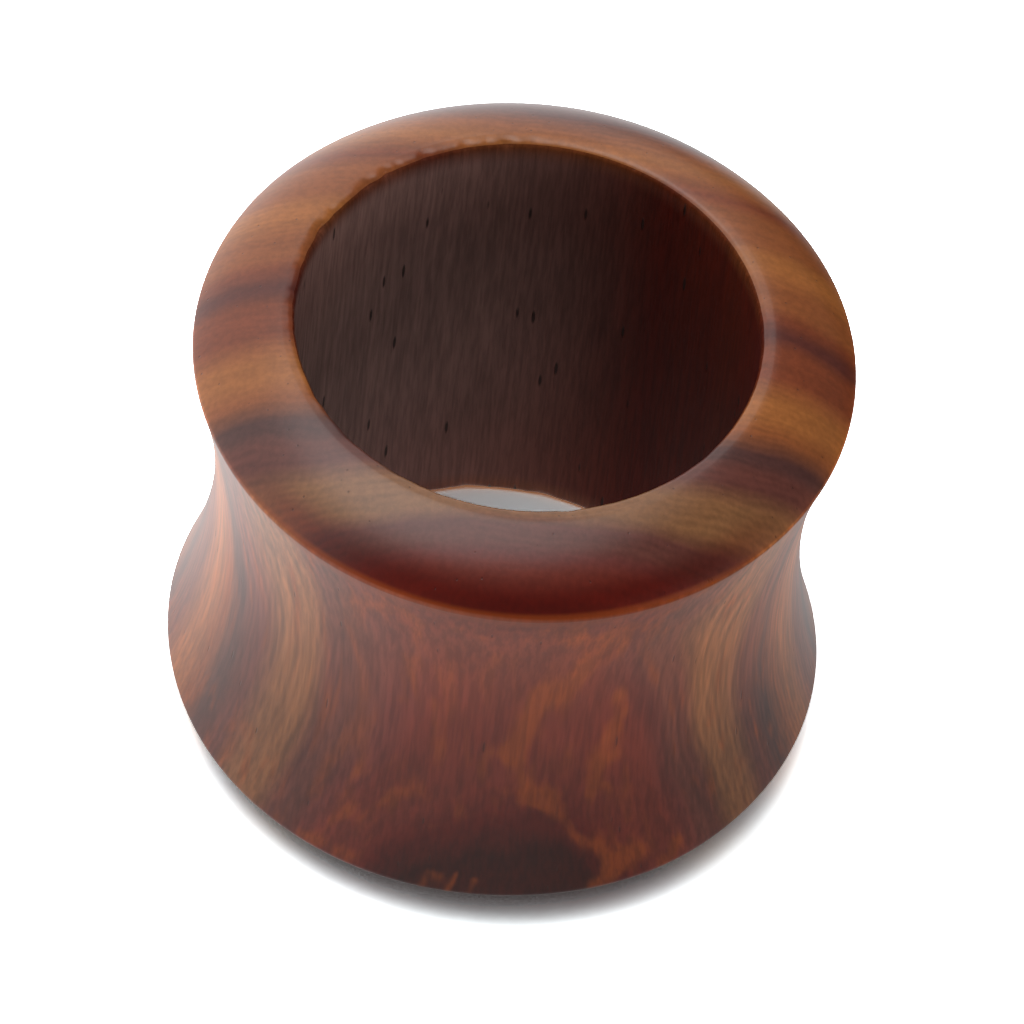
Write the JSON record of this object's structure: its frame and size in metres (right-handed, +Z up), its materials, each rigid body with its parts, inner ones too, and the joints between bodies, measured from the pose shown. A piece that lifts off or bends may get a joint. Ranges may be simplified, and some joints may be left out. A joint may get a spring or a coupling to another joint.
{
  "type": "wooden flesh tunnel",
  "caption": "Hollow turned hardwood ear tunnel: an open tube with a concave waist between flared, domed ends, worn in a stretched lobe.",
  "frame": {"origin": "middle of the bore, on the plane of the lower end's flat ring, which it stands on", "axes": "+Z up along the bore, towards the other end; the grain runs along Z, and -Y is the front, towards the picture's camera"},
  "size_m": [0.0178, 0.0178, 0.015],
  "materials": {
    "wood": "polished reddish-brown tropical hardwood, satin outside and bare in the bore"
  },
  "bodies": {
    "root": {"tunnel": "wood"}
  },
  "joints": []
}
